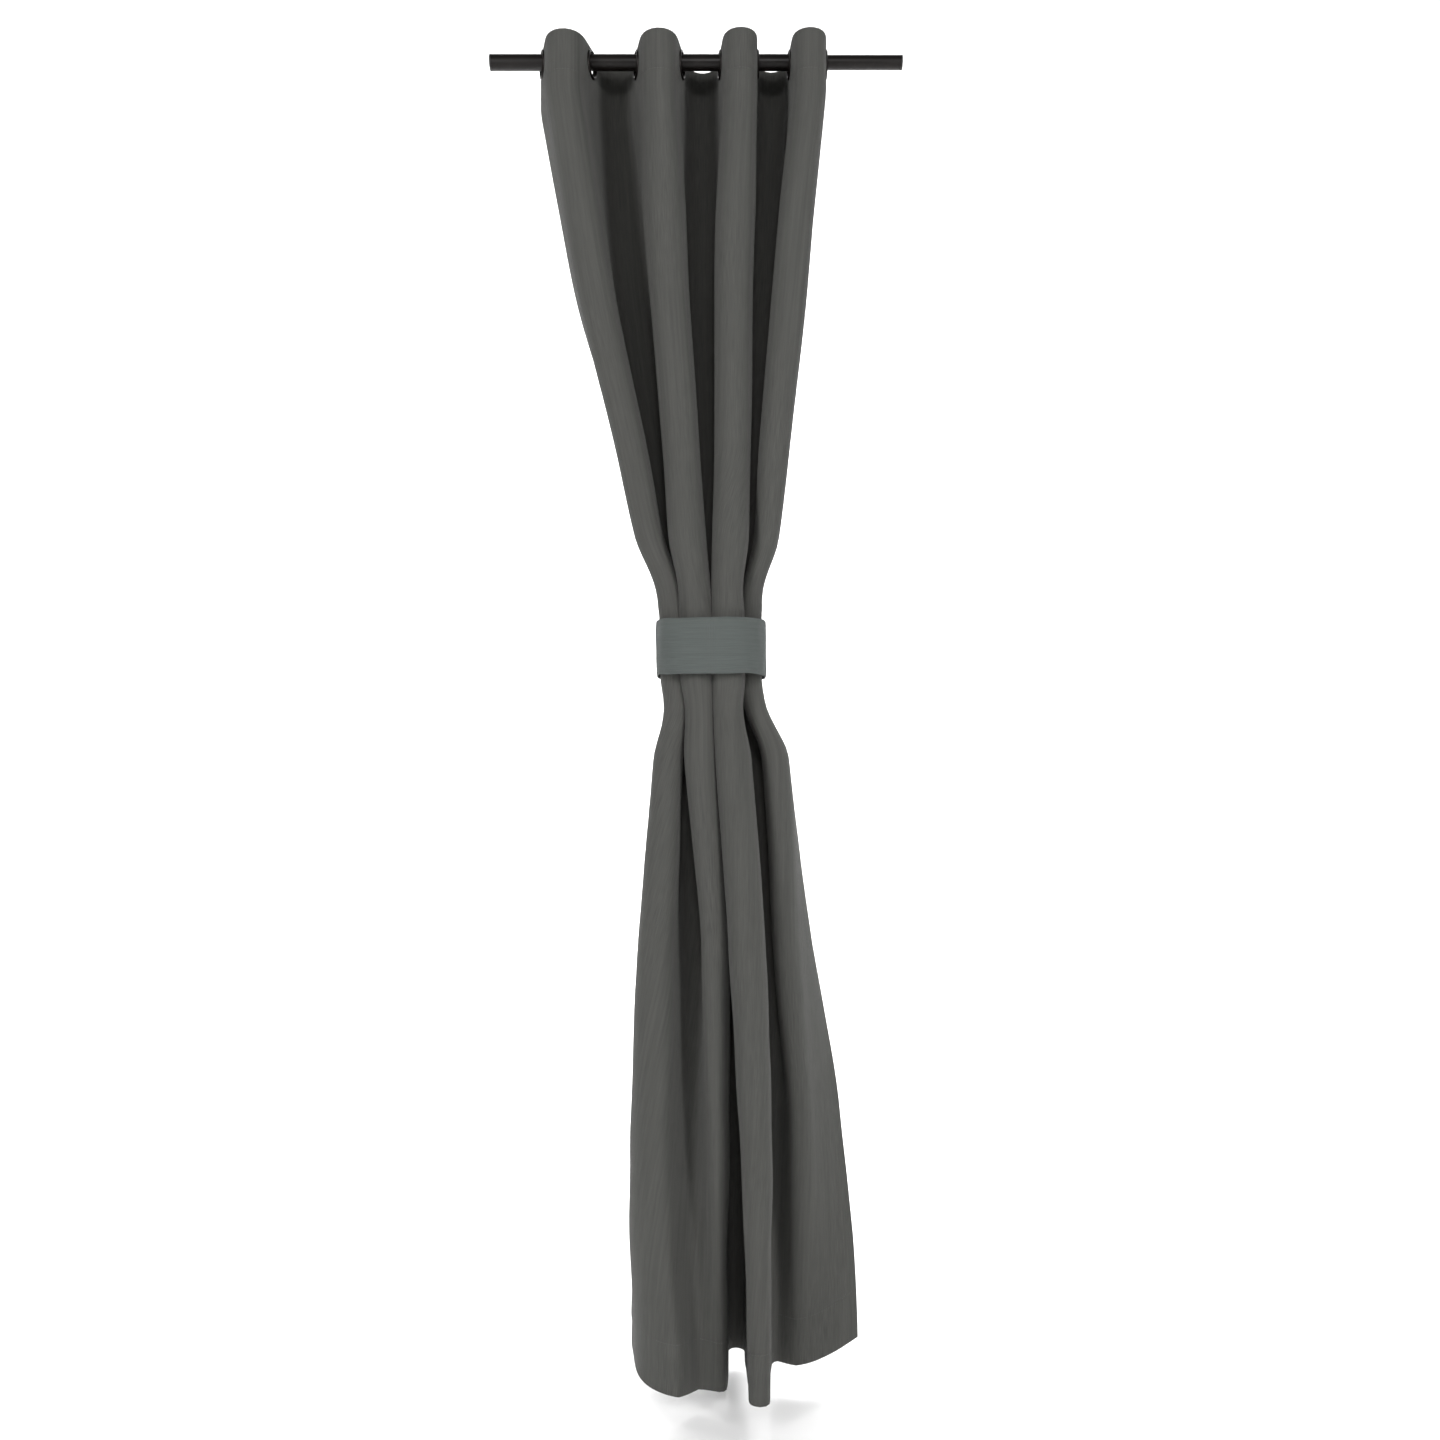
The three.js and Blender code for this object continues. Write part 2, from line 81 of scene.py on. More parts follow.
SIDE_POWER = 90
FRONT_POWER = 40
WALL_POWER = 260
FLOOR_POWER = 70
SKY_STRENGTH = 0.20
CURTAIN_MIDDLE = (0, 0, -1.2)


def linear(hex_colour):
    parts = [int(hex_colour[i:i + 2], 16) / 255 for i in (1, 3, 5)]
    return [c / 12.92 if c <= 0.04045 else ((c + 0.055) / 1.055) ** 2.4 for c in parts] + [1.0]


def new_material(name):
    made = bpy.data.materials.new(name)
    made.use_nodes = True
    return made, made.node_tree, made.node_tree.nodes["Principled BSDF"]


def add(tree, kind, settings=None, values=None, links=None):
    """Adds a node with its settings, its inputs' values, and links from other nodes' sockets."""
    made = tree.nodes.new(kind)
    for key, value in (settings or {}).items():
        setattr(made, key, value)
    for key, value in (values or {}).items():
        made.inputs[key].default_value = value
    for key, source in (links or {}).items():
        tree.links.new(source, made.inputs[key])
    return made


def new_piece(name, shape, material, smooth=True):
    """Makes a piece of a bmesh, at the origin, with one material."""
    mesh = bpy.data.meshes.new(name)
    shape.to_mesh(mesh)
    shape.free()
    mesh.polygons.foreach_set("use_smooth", [smooth] * len(mesh.polygons))
    mesh.materials.append(material)
    piece = bpy.data.objects.new(name, mesh)
    bpy.context.scene.collection.objects.link(piece)
    return piece


def studio_sweep():
    floor_z = cad_box[0][2] - HEM_TO_FLOOR
    profile = [(SWEEP_FRONT, floor_z)]
    for i in range(13):
        turn = math.pi / 2 * i / 12
        profile.append((SWEEP_BACK + SWEEP_RADIUS * math.sin(turn),
                        floor_z + SWEEP_RADIUS * (1 - math.cos(turn))))
    profile.append((SWEEP_BACK + SWEEP_RADIUS, floor_z + WALL_HEIGHT))
    shape = bmesh.new()
    verts = [shape.verts.new((-SWEEP_HALF_WIDTH, y, z)) for y, z in profile]
    edges = [shape.edges.new(pair) for pair in zip(verts, verts[1:])]
    swept = bmesh.ops.extrude_edge_only(shape, edges=edges)
    moved = [v for v in swept["geom"] if isinstance(v, bmesh.types.BMVert)]
    bmesh.ops.translate(shape, verts=moved, vec=(2 * SWEEP_HALF_WIDTH, 0, 0))
    paper, _, surface = new_material("studio_paper_matt_white")
    surface.inputs["Base Color"].default_value = linear("#FAFAFA")
    surface.inputs["Roughness"].default_value = 0.95
    new_piece("studio_sweep", shape, paper)


def soft_light(name, place, target, size, power):
    lamp = bpy.data.lights.new(name, "AREA")
    lamp.shape = "RECTANGLE"
    lamp.size, lamp.size_y = size
    lamp.energy = power
    holder = bpy.data.objects.new(name, lamp)
    holder.location = place
    holder.rotation_euler = (Vector(target) - Vector(place)).to_track_quat("-Z", "Y").to_euler()
    bpy.context.scene.collection.objects.link(holder)


def studio():
    studio_sweep()
    soft_light("left_key_light", (-2.3, -3.0, -0.2), CURTAIN_MIDDLE, (0.7, 2.4), SIDE_POWER)
    soft_light("right_key_light", (2.5, -3.0, -0.2), CURTAIN_MIDDLE, (0.7, 2.4), SIDE_POWER)
    soft_light("front_light", (0.1, -4.2, 0.6), CURTAIN_MIDDLE, (0.6, 0.6), FRONT_POWER)
    soft_light("wall_light", (0, 1.3, 1.6), (0, 3.8, -0.9), (7.0, 1.4), WALL_POWER)
    soft_light("floor_light", (0, 1.3, -0.2), (0, 2.4, -2.45), (5.0, 0.8), FLOOR_POWER)
    sky = bpy.data.worlds.new("studio_sky")
    sky.use_nodes = True
    sky.node_tree.nodes["Background"].inputs["Color"].default_value = (1, 1, 1, 1)
    sky.node_tree.nodes["Background"].inputs["Strength"].default_value = SKY_STRENGTH
    bpy.context.scene.world = sky
    bpy.context.scene.view_settings.view_transform = "Standard"
    lens = bpy.data.cameras.new("camera")
    lens.sensor_width = SENSOR_WIDTH
    lens.lens = SENSOR_WIDTH * EYE_DISTANCE / VIEW_WIDTH
    lens.shift_y = VIEW_SHIFT
    lens.clip_end = 100
    eye = bpy.data.objects.new("camera", lens)
    eye.location = (EYE_SIDE, -EYE_DISTANCE, EYE_HEIGHT)
    eye.rotation_euler = (math.pi / 2, 0, 0)
    bpy.context.scene.collection.objects.link(eye)
    bpy.context.scene.camera = eye


studio()

# Curtain cloth: one rectangle of plain-woven charcoal cloth. Its top is folded to the back and sewn
# down as a stiffened heading, its hem and both side edges are turned to the back and sewn, and it
# hangs from eight eyelets in soft folds that the tieback gathers to a waist.
PANEL_WIDTH = 1.400
PANEL_DROP = 2.450
TOP_ABOVE_ROD = 0.024
HEADER_DEPTH = 0.074
HEM_DEPTH = 0.095
SIDE_HEM = 0.025
CLOTH_T = 0.0009
LAYER_GAP = 0.0017
EYELETS = 8
MARGIN = 0.077
EYELET_FLAT = 0.028
EYELET_DROP = TOP_ABOVE_ROD + 0.0042
EYELET_HOLE_R = 0.0222
EYELET_PITCH = (PANEL_WIDTH - 2 * MARGIN) / (EYELETS - 1)
CREST_LENGTH = MARGIN + EYELET_PITCH / 2
BAND_DROP = 1.071
BAND_HEIGHT = 0.100
BAND_CENTRE = (0.028, -0.002)
BAND_HALF = (0.096, 0.091)
BAND_FILL = 0.973
GATHER_REACH = 0.150

# How the cloth hangs, as in the CAD model: at each height below the rod, the seven fold lines
# along X, the length of cloth between them, the first fold's depth, and the side edges' angles.
EVEN = [0.166] + [0.178] * 6 + [0.166]
BUNDLED = [0.166, 0.165, 0.190, 0.200, 0.200, 0.185, 0.130, 0.164]
SPREAD = [0.439, 0.065, 0.036, 0.200, 0.299, 0.200, 0.041, 0.120]


def mixed(share):
    return [a + (b - a) * share for a, b in zip(BUNDLED, SPREAD)]


SECTIONS = [
    (-TOP_ABOVE_ROD, [-0.234, -0.148, -0.065, 0.011, 0.081, 0.140, 0.204], EVEN,
     -0.070, (1.33, 2.0), (1.54, 1.9), 0),
    (HEADER_DEPTH, [-0.234, -0.148, -0.065, 0.011, 0.081, 0.140, 0.204], EVEN,
     -0.070, (1.33, 2.0), (1.54, 1.9), 0),
    (0.404, [-0.187, -0.118, -0.048, 0.011, 0.070, 0.123, 0.173], EVEN,
     -0.068, (1.48, 2.0), (1.58, 2.0), 0),
    (0.700, [-0.121, -0.076, -0.027, 0.020, 0.066, 0.113, 0.146], EVEN,
     -0.066, (1.7, 2.15), (1.75, 2.4), 0),
    (0.896, [-0.078, -0.050, -0.014, 0.026, 0.063, 0.102, 0.124], mixed(0),
     -0.063, (1.82, 2.3), (1.87, 2.8), 0),
    (BAND_DROP - 0.061, [-0.041, -0.021, 0.002, 0.029, 0.058, 0.082, 0.098], mixed(0),
     -0.060, (1.95, 2.4), (1.95, 3.3), 0),
    (BAND_DROP + 0.059, [-0.041, -0.021, 0.002, 0.029, 0.058, 0.082, 0.098], mixed(0),
     -0.060, (1.95, 2.4), (1.95, 3.3), 0),
    (1.250, [-0.048, -0.019, 0.007, 0.036, 0.067, 0.110, 0.141], mixed(0.1),
     -0.058, (1.92, 2.4), (1.62, 2.4), 0.03),
    (1.612, [-0.064, 0.0, 0.031, 0.060, 0.095, 0.138, 0.156], mixed(0.4),
     -0.054, (1.82, 2.4), (1.22, 1.5), 0.1),
    (1.932, [-0.066, -0.006, 0.036, 0.068, 0.110, 0.150, 0.182], mixed(0.66),
     -0.052, (1.7, 2.5), (0.98, 0.85), 0.22),
    (2.440, [-0.033, 0.008, 0.043, 0.072, 0.117, 0.152, 0.187], mixed(1),
     -0.050, (1.48, 2.7), (0.27, 0.25), 0.36),
]
LEVELS = [section[0] for section in SECTIONS]
BENDS = (1, 5, 6)
PLAN_STEP = 0.002
LEVEL_STEP = 0.010


def through(values, at):
    """A value that runs smoothly through the sections, without overshoot."""
    i = 0
    while i < len(LEVELS) - 2 and at > LEVELS[i + 1]:
        i += 1

    def slope(k):
        return (values[k + 1] - values[k]) / (LEVELS[k + 1] - LEVELS[k])

    def tangent(k):
        if k in (0, len(LEVELS) - 1):
            return 0.0
        if k in BENDS:
            return slope(i)
        before, after = slope(k - 1), slope(k)
        return 0.0 if before * after <= 0 else 2 * before * after / (before + after)

    span = LEVELS[i + 1] - LEVELS[i]
    u = min(1.0, max(0.0, (at - LEVELS[i]) / span))
    keep = (1 + 2 * u) * (1 - u) ** 2
    pulls = span * (u * (1 - u) ** 2 * tangent(i) + u * u * (u - 1) * tangent(i + 1))
    return values[i] * keep + values[i + 1] * (1 - keep) + pulls


def ease(u):
    held = np.clip(u, 0, 1)
    return held * held * (3 - 2 * held)


def swing(u, flat_share):
    return np.sin(math.pi / 2 * np.minimum(1, np.minimum(u, 1 - u) / (0.5 - flat_share)))


def fold_angle(share, flat_share):
    """The full angle that makes a run of cloth reach this share of its length along X."""
    low, high = 0.0, 2.9
    u = (np.arange(24) + 0.5) / 24
    for _ in range(26):
        angle = (low + high) / 2
        if np.cos(angle * swing(u, flat_share)).mean() > share:
            low = angle
        else:
            high = angle
    return (low + high) / 2


def edge_angle(out, run, angles):
    crossing = EYELET_PITCH / 2 / CREST_LENGTH
    flat = EYELET_FLAT / CREST_LENGTH
    rising = np.sin(math.pi / 2 * np.minimum(1, out / run / (crossing - flat)))
    curl = ease((out / run - crossing - flat) / (1 - crossing - flat))
    return angles[0] * rising + (angles[1] - angles[0]) * curl


def plan_at(height):
    """The plan curve of the cloth at one height: x, y and direction, every PLAN_STEP along it."""
    folds = [through([s[1][i] for s in SECTIONS], height) for i in range(7)]
    runs = [through([s[2][i] for s in SECTIONS], height) for i in range(8)]
    first = through([s[3] for s in SECTIONS], height)
    left = [through([s[4][i] for s in SECTIONS], height) for i in range(2)]
    right = [through([s[5][i] for s in SECTIONS], height) for i in range(2)]
    heading = 1 - ease((height - HEADER_DEPTH) / 0.25)
    starts = np.concatenate([[0], np.cumsum(runs)])
    straight = through([s[6] for s in SECTIONS], height)
    flats = [EYELET_FLAT * heading / run + straight for run in runs]

    def angle_along(along):
        out = np.zeros_like(along)
        part = np.clip(np.searchsorted(starts, along, side="right") - 1, 0, 7)
        here = part == 0
        out[here] = -edge_angle(runs[0] - along[here], runs[0], left)
        here = part == 7
        out[here] = edge_angle(along[here] - starts[7], runs[7], right)
        for i in range(1, 7):
            here = part == i
            full = fold_angle((folds[i] - folds[i - 1]) / runs[i], flats[i])
            side = 1 if i % 2 else -1
            out[here] = side * full * swing((along[here] - starts[i]) / runs[i], flats[i])
        return out

    count = round(PANEL_WIDTH / PLAN_STEP)
    along = np.arange(count + 1) * PLAN_STEP
    middle = angle_along(along[:-1] + PLAN_STEP / 2)
    x = np.concatenate([[0], np.cumsum(np.cos(middle)) * PLAN_STEP])
    y = np.concatenate([[0], np.cumsum(np.sin(middle)) * PLAN_STEP])
    x += folds[0] - np.interp(starts[1], along, x)
    y += first - np.interp(starts[1], along, y)
    eyelets = MARGIN + EYELET_PITCH * np.arange(EYELETS)
    offsets = np.interp(eyelets, along, y)
    at = np.clip(np.floor((along - MARGIN) / EYELET_PITCH), 0, EYELETS - 2).astype(int)
    bend = ease((along - eyelets[at] - EYELET_FLAT) / (EYELET_PITCH - 2 * EYELET_FLAT))
    y -= heading * (offsets[at] + (offsets[at + 1] - offsets[at]) * bend)
    held = 1 - ease((abs(height - BAND_DROP) - BAND_HEIGHT / 2) / GATHER_REACH)
    out = np.minimum(1, abs((x - BAND_CENTRE[0]) / BAND_HALF[0]))
    y *= 1 - 0.25 * held * out ** 4
    over = [abs((value - middle) / half) ** 3
            for value, middle, half in zip((x, y), BAND_CENTRE, BAND_HALF)]
    reach = (over[0] + over[1]) ** (1 / 3)
    press = 1 + (BAND_FILL / reach.max() - 1) * held
    x = BAND_CENTRE[0] + (x - BAND_CENTRE[0]) * press
    y = BAND_CENTRE[1] + (y - BAND_CENTRE[1]) * press
    return x, y, angle_along(along)


def hang_table():
    heights = np.arange(-TOP_ABOVE_ROD, PANEL_DROP - TOP_ABOVE_ROD + 2 * LEVEL_STEP, LEVEL_STEP)
    plans = [plan_at(height) for height in heights]
    return heights, [np.array([plan[k] for plan in plans]) for k in range(3)]


HEIGHTS, (PLAN_X, PLAN_Y, PLAN_ANGLE) = hang_table()
PLAN_ALONG = np.arange(PLAN_X.shape[1]) * PLAN_STEP


def thread(along):
    """One vertical thread of the cloth: its x, y, z, direction and length down from the top."""
    x, y, angle = [np.array([np.interp(along, PLAN_ALONG, row) for row in table])
                   for table in (PLAN_X, PLAN_Y, PLAN_ANGLE)]
    z = -HEIGHTS
    steps = np.sqrt(np.diff(x) ** 2 + np.diff(y) ** 2 + np.diff(z) ** 2)
    return x, y, z, angle, np.concatenate([[0], np.cumsum(steps)])


def crease(along, down):
    """How far the cloth stands off its smooth shape: slow waves everywhere, small upright pleats
    beside the tieback, and a pucker where the hem is sewn. The heading is stiff and stays smooth."""
    soft = float(ease((down - 0.08) / 0.25))
    slow = 0.0022 * noise.noise(Vector((along * 16, down * 4, 0.3)))
    dents = 0.0034 * noise.noise(Vector((along * 11, down * 6.5, 7.1))) * float(ease((down - 1.3) / 0.5))
    near = math.exp(-((abs(down - BAND_DROP - TOP_ABOVE_ROD) - BAND_HEIGHT / 2) / 0.11) ** 2)
    pleats = 0.0026 * near * noise.noise(Vector((along * 55, down * 7, 2.7)))
    seam = math.exp(-((down - (PANEL_DROP - HEM_DEPTH)) / 0.012) ** 2)
    pucker = 0.0009 * seam * noise.noise(Vector((along * 70, 0, 5.5)))
    return soft * (slow + dents + pleats) + pucker


SAGS = (0.0015, 0.0015, 0.0010, 0.0060, 0.0010, 0.0035, 0.0015)


def sag(along, down):
    """Between eyelets the heading's top edge droops a little, and most in the middle gap."""
    u = (along - MARGIN) / EYELET_PITCH
    if not 0 < u < EYELETS - 1:
        return 0.0
    return SAGS[int(u)] * math.sin(math.pi * u) ** 2 * float(1 - ease(down / 0.25))


def on_thread(vertical, along, down, off):
    """The place of a point of the cloth, "off" its front layer towards the back."""
    x, y, z, angle, length = vertical
    at = [float(np.interp(down, length, values)) for values in (x, y, z, angle)]
    stand = off - LAYER_GAP / 2 + crease(along, down)
    return Vector((at[0] - stand * math.sin(at[3]), at[1] + stand * math.cos(at[3]),
                   at[2] - sag(along, down)))


def on_cloth(along, down, off=0.0):
    return on_thread(thread(along), along, down, off)


def woven_cloth(name, dark, light):
    """Plain-woven polyester yarn with slubs in the warp: matt, a faint sheen, thin streaks along the
    drop and cloudy patches from handling. Its relief is the weave, at about twice the real spacing."""
    made, tree, surface = new_material(name)
    place = add(tree, "ShaderNodeUVMap", {"uv_map": "cloth"}).outputs["UV"]

    def streaks(across, along, detail):
        stretched = add(tree, "ShaderNodeMapping", values={"Scale": (across, along, 1)},
                        links={"Vector": place})
        return add(tree, "ShaderNodeTexNoise", values={"Scale": 1.0, "Detail": detail},
                   links={"Vector": stretched.outputs["Vector"]}).outputs["Fac"]

    def mixed_by(factor, first, second):
        mixer = add(tree, "ShaderNodeMix", {"data_type": "RGBA"})
        for socket, value in ((0, factor), (6, first), (7, second)):
            if isinstance(value, list):
                mixer.inputs[socket].default_value = value
            else:
                tree.links.new(value, mixer.inputs[socket])
        return mixer.outputs[2]

    def ranged(value, low, high):
        return add(tree, "ShaderNodeMapRange", values={"From Min": low, "From Max": high},
                   links={"Value": value}).outputs["Result"]

    slubs = streaks(150, 3.5, 3.0)
    yarns = streaks(700, 26, 2.0)
    clouds = streaks(7, 3, 3.0)
    yarn_colour = mixed_by(ranged(yarns, 0.25, 0.75), linear(dark), linear(light))
    slub_colour = mixed_by(ranged(slubs, 0.2, 0.8), linear(dark), linear(light))
    both = mixed_by(ranged(clouds, 0.3, 0.7), yarn_colour, slub_colour)
    tree.links.new(both, surface.inputs["Base Color"])
    warp = add(tree, "ShaderNodeTexWave", {"bands_direction": "X"}, {"Scale": 310.0}, {"Vector": place})
    weft = add(tree, "ShaderNodeTexWave", {"bands_direction": "Y"}, {"Scale": 310.0}, {"Vector": place})
    threads = add(tree, "ShaderNodeMath", {"operation": "ADD"},
                  links={0: warp.outputs["Fac"], 1: weft.outputs["Fac"]})
    relief = add(tree, "ShaderNodeMath", {"operation": "MULTIPLY_ADD"}, {1: 0.4},
                 {0: slubs, 2: threads.outputs[0]})
    bump = add(tree, "ShaderNodeBump", values={"Strength": 0.35, "Distance": 0.0007},
               links={"Height": relief.outputs[0]})
    tree.links.new(bump.outputs["Normal"], surface.inputs["Normal"])
    surface.inputs["Roughness"].default_value = 0.93
    surface.inputs["Specular IOR Level"].default_value = 0.2
    surface.inputs["Sheen Weight"].default_value = 0.08
    surface.inputs["Sheen Roughness"].default_value = 0.45
    return made


CLOTH_WEAVE = woven_cloth("woven_polyester_charcoal_slub", "#3F3F3D", "#50504D")

# The flat cut is the panel with its turnings: side hems, heading and bottom hem. Its rows and
# columns are closer together at the folded edges and in the heading.
CUT_COLUMNS = 150
CUT_ROWS = 160
HEADING_ROW = 0.005
EDGE_STEPS = (-0.003, -0.001, 0.0, 0.001, 0.003)


def spaced(low, high, count, folds, fine=()):
    """Even places from low to high, with a few more at each folded edge."""
    places = set(np.round(np.linspace(low, high, count), 5)) | set(np.round(fine, 5))
    for edge in folds:
        places = {p for p in places if abs(p - edge) > 0.0035}
        places |= {round(edge + step, 5) for step in EDGE_STEPS}
    kept = []
    for p in sorted(places):
        if not kept or p - kept[-1] > 0.0009:
            kept.append(float(p))
    return kept


def folded(place, length):
    """Where a place on the cut comes to lie, and how far it is turned to the back (0 to 1)."""
    if place < 0:
        return -place, min(1.0, -place / 0.003)
    if place > length:
        return 2 * length - place, min(1.0, (place - length) / 0.003)
    return place, 0.0


def from_eyelet(along, down):
    """The nearest eyelet's place along the cloth, and the distance from its centre."""
    k = min(EYELETS - 1, max(0, round((along - MARGIN) / EYELET_PITCH)))
    centre = MARGIN + EYELET_PITCH * k
    return centre, math.hypot(along - centre, down - EYELET_DROP)


def cut_panel():
    eyelet_columns = [MARGIN + EYELET_PITCH * k + 0.0045 * i for k in range(EYELETS) for i in range(-6, 7)]
    columns = spaced(-SIDE_HEM, PANEL_WIDTH + SIDE_HEM, CUT_COLUMNS, (0, PANEL_WIDTH), eyelet_columns)
    rows = spaced(-HEADER_DEPTH, PANEL_DROP + HEM_DEPTH, CUT_ROWS, (0, PANEL_DROP),
                  np.arange(-HEADER_DEPTH, HEADER_DEPTH, HEADING_ROW))
    shape = bmesh.new()
    bmesh.ops.create_grid(shape, x_segments=len(columns) - 1, y_segments=len(rows) - 1, size=0.5)
    spots = {}
    for vert in shape.verts:
        column = columns[round((vert.co.x + 0.5) * (len(columns) - 1))]
        row = rows[round((vert.co.y + 0.5) * (len(rows) - 1))]
        along, side = folded(column, PANEL_WIDTH)
        down, end = folded(row, PANEL_DROP)
        centre, reach = from_eyelet(along, down)
        spots[vert] = [column, row, along, down, side + end, centre, reach]
    return shape, spots


def punch_eyelets(shape, spots):
    """Removes the cloth inside each eyelet and moves the rim's corners onto its circle."""
    holes = [face for face in shape.faces
             if all(spots[v][6] < EYELET_HOLE_R for v in face.verts)]
    bmesh.ops.delete(shape, geom=holes, context="FACES")
    for vert in shape.verts:
        column, row, along, down, turned, centre, reach = spots[vert]
        if 0 < reach < EYELET_HOLE_R:
            grow = EYELET_HOLE_R / reach
            spots[vert][2] = centre + (along - centre) * grow
            spots[vert][3] = EYELET_DROP + (down - EYELET_DROP) * grow


def hang_panel():
    shape, spots = cut_panel()
    punch_eyelets(shape, spots)
    uv = shape.loops.layers.uv.new("cloth")
    for face in shape.faces:
        for loop in face.loops:
            loop[uv].uv = spots[loop.vert][0], -spots[loop.vert][1]
    threads = {}
    for vert in shape.verts:
        along, down, turned = spots[vert][2:5]
        if along not in threads:
            threads[along] = thread(along)
        vert.co = on_thread(threads[along], along, down, LAYER_GAP * turned)
    return shape


def thicken(piece, thickness):
    solid = piece.modifiers.new("thickness", "SOLIDIFY")
    solid.thickness = thickness
    solid.offset = 0


GATHER_FROM = on_cloth(MARGIN, EYELET_DROP)
GATHER_TO = on_cloth(PANEL_WIDTH - MARGIN, EYELET_DROP)


def gathers(piece):
    """Bakes the piece's placement into its mesh."""
    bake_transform(piece)


panel = new_piece("curtain_panel", hang_panel(), CLOTH_WEAVE)
thicken(panel, CLOTH_T)
gathers(panel)
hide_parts("curtain_cloth")

# Seams: lockstitch in charcoal thread. One row holds the heading down, one the bottom hem, and one
# each side hem; each stitch is a short spindle of thread lying in the cloth.
STITCH_PITCH = 0.0048
STITCH_LENGTH = 0.0036
STITCH_R = 0.00042
THREAD_SINK = 0.0001


def sewing_thread():
    """Spun polyester thread, twisted: fine slanting ridges on a matt, slightly lighter charcoal."""
    made, tree, surface = new_material("polyester_thread_charcoal_twisted")
    place = add(tree, "ShaderNodeTexCoord").outputs["Object"]
    twist = add(tree, "ShaderNodeTexNoise", values={"Scale": 900.0, "Detail": 2.0},
                links={"Vector": place})
    colour = add(tree, "ShaderNodeValToRGB", links={"Fac": twist.outputs["Fac"]})
    colour.color_ramp.elements[0].color = linear("#3A3A39")
    colour.color_ramp.elements[1].color = linear("#5E5E5B")
    tree.links.new(colour.outputs["Color"], surface.inputs["Base Color"])
    bump = add(tree, "ShaderNodeBump", values={"Strength": 0.4, "Distance": 0.0002},
               links={"Height": twist.outputs["Fac"]})
    tree.links.new(bump.outputs["Normal"], surface.inputs["Normal"])
    surface.inputs["Roughness"].default_value = 0.8
    return made


THREAD = sewing_thread()


def add_stitch(shape, start, end, out):
    """One stitch: a four-sided spindle from start to end, standing off along out."""
    run = (end - start).normalized()
    side = run.cross(out).normalized()
    rings = []
    for share, thick in ((0.0, 0.45), (0.3, 1.0), (0.7, 1.0), (1.0, 0.45)):
        middle = start.lerp(end, share)
        ring = [shape.verts.new(middle + (side * a + out * b) * STITCH_R * thick)
                for a, b in ((1, 0), (0, 1), (-1, 0), (0, -1))]
        rings.append(ring)
    for one, two in zip(rings, rings[1:]):
        for i in range(4):
            shape.faces.new((one[i], one[(i + 1) % 4], two[(i + 1) % 4], two[i]))
    shape.faces.new(rings[0][::-1])
    shape.faces.new(rings[-1])


def sew_row(shape, place, length):
    """A row of stitches. place(s, off) is the seam's point at s metres, off the cloth's face."""
    for i in range(int(length / STITCH_PITCH)):
        s = (i + 0.5) * STITCH_PITCH
        start, end = place(s - STITCH_LENGTH / 2), place(s + STITCH_LENGTH / 2)
        add_stitch(shape, start[0], end[0], start[1])


def cloth_seam(line):
    """Makes a seam's place function from line(s) = (along, down) on the panel's front."""
    def place(s):
        along, down = line(s)
        face = on_cloth(along, down, -CLOTH_T / 2 + THREAD_SINK)
        behind = on_cloth(along, down, 0.001)
        return face, (face - behind).normalized()
    return place


def sew_panel():
    shape = bmesh.new()
    sew_row(shape, cloth_seam(lambda s: (s, HEADER_DEPTH - 0.003)), PANEL_WIDTH)
    sew_row(shape, cloth_seam(lambda s: (s, PANEL_DROP - HEM_DEPTH + 0.003)), PANEL_WIDTH)
    sew_row(shape, cloth_seam(lambda s: (SIDE_HEM - 0.003, s + HEADER_DEPTH)), PANEL_DROP - HEADER_DEPTH)
    sew_row(shape, cloth_seam(lambda s: (PANEL_WIDTH - SIDE_HEM + 0.003, s + HEADER_DEPTH)),
            PANEL_DROP - HEADER_DEPTH)
    return shape


seams = new_piece("panel_seams", sew_panel(), THREAD)
gathers(seams)

# Buckram: a strip of stiff open-woven white stiffener between the heading's two layers.
BUCKRAM_T = 0.0005
BUCKRAM_INSET = 0.004


def stiff_buckram():
    """Cotton buckram, sized stiff: a coarse open weave, off-white."""
    made, tree, surface = new_material("cotton_buckram_sized_stiff")
    place = add(tree, "ShaderNodeUVMap", {"uv_map": "cloth"}).outputs["UV"]
    weave = add(tree, "ShaderNodeTexChecker", values={"Scale": 900.0, "Color1": linear("#D8D6CF"),
                                                      "Color2": linear("#C4C1B8")}, links={"Vector": place})
    tree.links.new(weave.outputs["Color"], surface.inputs["Base Color"])
    bump = add(tree, "ShaderNodeBump", values={"Strength": 0.3, "Distance": 0.0002},
               links={"Height": weave.outputs["Fac"]})
    tree.links.new(bump.outputs["Normal"], surface.inputs["Normal"])
    surface.inputs["Roughness"].default_value = 0.9
    return made


def cut_buckram():
    shape = bmesh.new()
    columns, rows = 300, 14
    length = PANEL_WIDTH - 2 * BUCKRAM_INSET
    bmesh.ops.create_grid(shape, x_segments=columns, y_segments=rows, size=0.5)
    uv = shape.loops.layers.uv.new("cloth")
    for vert in shape.verts:
        vert.co = (BUCKRAM_INSET + (vert.co.x + 0.5) * length, 0.004 + (vert.co.y + 0.5) * 0.066, 0)
    for face in shape.faces:
        for loop in face.loops:
            loop[uv].uv = loop.vert.co.x, loop.vert.co.y
    holes = [v for v in shape.verts if from_eyelet(v.co.x, v.co.y)[1] < EYELET_HOLE_R + 0.001]
    bmesh.ops.delete(shape, geom=holes, context="VERTS")
    threads = {}
    for vert in shape.verts:
        along, down = vert.co.x, vert.co.y
        threads.setdefault(along, thread(along))
        vert.co = on_thread(threads[along], along, down, LAYER_GAP / 2)
    return shape


